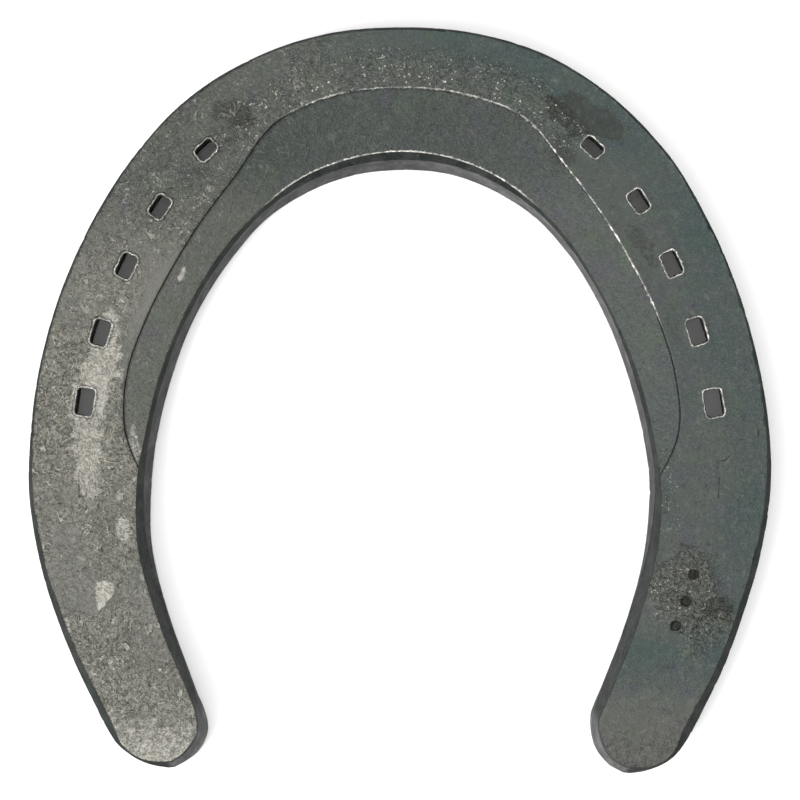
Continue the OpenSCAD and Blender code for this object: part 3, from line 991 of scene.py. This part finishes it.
def relief(n, bright, dark, glint):
    """Fine bump: sandy grain in the rough scale, faint orange peel in the smooth."""
    lumps = n.noise(1.25, 1.0, 0.5, 0.6)
    flaky = n.band(n.flakes, 0.5, 0.0, 0.035)
    height = n.times(n.grain, n.plus(n.times(n.rough, 1.8), 0.40))
    for detail, on_rough, anywhere in ((lumps, 2.6, 0.0), (n.fine, 1.5, 0.22),
                                       (n.mottle, 1.1, 0.5), (flaky, 0.9, 0.0)):
        strength = n.plus(n.times(n.rough, on_rough), anywhere)
        height = n.plus(height, n.times(detail, strength))
    height = n.plus(height, n.times(glint, 0.8))
    height = n.math("SUBTRACT", height, n.times(dark, 0.9))
    height = n.plus(height, n.times(bright, 0.4))
    return n.add("ShaderNodeBump", Strength=1.0, Distance=0.00026, Height=height)


def gloss_of(n, bright):
    gloss = n.plus(n.times(n.mottle, 0.20), 0.28)
    gloss = n.plus(gloss, n.times(n.rough, 0.06), clamp=True)
    return n.plus(gloss, n.times(bright, -0.10), clamp=True)


def foot_material():
    material = bpy.data.materials.new("forge_scale")
    n = FootScale(material)
    colour = n.mix(n.rough, smooth_scale(n), rough_scale(n))
    colour = patches(n, colour)
    glint = painted_glints(n)
    # Painted glints in a pale highlight colour.
    colour = n.mix(n.times(glint, 0.85), colour, (0.50, 0.49, 0.45))
    bright, dark = lines(n)
    # Painted highlight on the bright lines, then painted shade and the dark cracks.
    colour = n.mix(n.times(bright, 0.9), colour, (0.62, 0.60, 0.56))
    colour = n.mix(n.times(dark, 0.85), colour, (0.005, 0.005, 0.004))
    bump = relief(n, bright, dark, glint)
    return n.finish(material, colour, gloss_of(n, bright), bump, 0.26, n.times(bright, 0.5))


def edge_material():
    """Matt scale on the side walls and bevels, greyer low on the inner wall, where a painted
    reflection of the pale floor lightens it.
    """
    material = bpy.data.materials.new("edge_scale")
    n = Nodes(material)
    patch, grain = n.noise(3.5, 4.0, 0.6), n.noise(0.7, 3.0, 0.6)
    colour = n.mix(n.step(patch, 0.35, 0.68), (0.016, 0.020, 0.019), (0.034, 0.037, 0.034))
    # Painted reflection of the pale floor: a lighter grey on the inner wall, and the same lighter
    # grey on the heel lips.
    lightened = n.mix(n.step(patch, 0.40, 0.70), (0.075, 0.075, 0.076), (0.15, 0.148, 0.148))
    colour = n.mix(n.attribute("wall"), colour, lightened)
    colour = n.mix(n.step(grain, 0.50, 0.30, 0.0, 0.6), colour, (0.010, 0.011, 0.010))
    colour = n.mix(n.step(grain, 0.60, 0.78, 0.0, 0.4), colour, (0.14, 0.14, 0.13))
    height = n.math("ADD", grain, n.math("MULTIPLY", patch, 0.8))
    bump = n.add("ShaderNodeBump", Strength=0.8, Distance=0.00015, Height=height)
    return n.finish(material, colour, n.step(grain, 0.3, 0.7, 0.50, 0.72), bump, 0.05)


def hole_material():
    """Black scale inside the nail holes, with painted shade that makes it darker further down."""
    material = bpy.data.materials.new("hole_scale")
    n = Nodes(material)
    grain = n.noise(0.6, 3.0, 0.6)
    # Painted shade: lighter at the mouth, darker from about 2 mm down.
    depth = n.step(n.attribute("hole_mm"), -0.3, -0.7)
    colour = n.mix(n.step(grain, 0.35, 0.65), (0.008, 0.008, 0.007), (0.028, 0.027, 0.025))
    colour = n.mix(depth, (0.05, 0.049, 0.045), colour)
    bump = n.add("ShaderNodeBump", Strength=0.7, Distance=0.00012, Height=grain)
    return n.finish(material, colour, n.step(grain, 0.3, 0.7, 0.50, 0.70), bump, 0.05)


def floor_material():
    material = bpy.data.materials.new("pale_floor")
    material.use_nodes = True
    shader = material.node_tree.nodes["Principled BSDF"]
    shader.inputs["Base Color"].default_value = (0.96, 0.96, 0.955, 1.0)
    shader.inputs["Roughness"].default_value = 0.7
    return material


# --------------------------------------------------------- floor, light, camera
FLOOR_SIZE = 3.0
FLOOR_GAP = 0.00005         # keeps the floor just clear of the ground face
SKY_LOW, SKY_HIGH = 0.04, 0.30
SKY_SEEN = 0.95             # what the camera sees past the floor
CAMERA_HEIGHT = 0.42        # above the foot surface
CAMERA_SHIFT = (0.012, -0.010)
CAMERA_AIM = (0.00044, -0.00020)
FRAME_WIDTH = 0.15094       # what the picture spans at the foot surface


def add_floor():
    mesh = bpy.data.meshes.new("floor")
    h = FLOOR_SIZE / 2
    mesh.from_pydata([(-h, -h, 0), (h, -h, 0), (h, h, 0), (-h, h, 0)], [], [(0, 1, 2, 3)])
    mesh.materials.append(floor_material())
    obj = bpy.data.objects.new("floor", mesh)
    obj.location.z = -FLOOR_GAP
    bpy.context.scene.collection.objects.link(obj)


def area_light(name, place, size, power):
    """A square white lamp that faces the shoe."""
    data = bpy.data.lights.new(name, "AREA")
    data.shape, data.size, data.energy = "SQUARE", size, power
    obj = bpy.data.objects.new(name, data)
    obj.location = place
    obj.rotation_euler = (-Vector(place)).to_track_quat("-Z", "Y").to_euler()
    bpy.context.scene.collection.objects.link(obj)


def add_world():
    """Dim at the horizon, brighter overhead, and pale where the camera looks past the floor."""
    world = bpy.data.worlds.new("studio")
    world.use_nodes = True
    nodes, links = world.node_tree.nodes, world.node_tree.links
    sky = nodes["Background"]
    split = nodes.new("ShaderNodeSeparateXYZ")
    links.new(nodes.new("ShaderNodeTexCoord").outputs["Generated"], split.inputs[0])
    rise = nodes.new("ShaderNodeMapRange")
    rise.inputs[1].default_value, rise.inputs[2].default_value = 0.15, 0.9
    rise.inputs[3].default_value, rise.inputs[4].default_value = SKY_LOW, SKY_HIGH
    links.new(split.outputs["Z"], rise.inputs[0])
    pick = nodes.new("ShaderNodeMix")
    links.new(nodes.new("ShaderNodeLightPath").outputs["Is Camera Ray"], pick.inputs[0])
    links.new(rise.outputs[0], pick.inputs[2])
    pick.inputs[3].default_value = SKY_SEEN
    links.new(pick.outputs[0], sky.inputs["Strength"])
    sky.inputs["Color"].default_value = (1, 1, 1, 1)
    bpy.context.scene.world = world


def add_light():
    area_light("overhead", (0.0, 0.05, 1.3), 2.4, 37.0)
    area_light("key", (-0.60, -0.42, 0.75), 0.45, 8.5)
    add_world()
    bpy.context.scene.view_settings.view_transform = "Standard"


def add_camera():
    """Looks straight down, a little from the side, with +Y up in the picture."""
    place = Vector((CAMERA_SHIFT[0], CAMERA_SHIFT[1], THICK * MM + CAMERA_HEIGHT))
    target = Vector((CAMERA_AIM[0], CAMERA_AIM[1], THICK * MM))
    data = bpy.data.cameras.new("camera")
    data.lens = data.sensor_width * (place - target).length / FRAME_WIDTH
    data.clip_start, data.clip_end = 0.01, 20.0
    ahead = (target - place).normalized()
    right = ahead.cross(Vector((0, 1, 0))).normalized()
    turn = Matrix((right, right.cross(ahead), -ahead)).transposed()
    obj = bpy.data.objects.new("camera", data)
    obj.matrix_world = Matrix.Translation(place) @ turn.to_4x4()
    bpy.context.scene.collection.objects.link(obj)
    bpy.context.scene.camera = obj


# ------------------------------------------------------------------- the scene
shoe = shoe_object()
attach(shoe, "root")
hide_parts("shoe")
add_floor()
add_light()
add_camera()
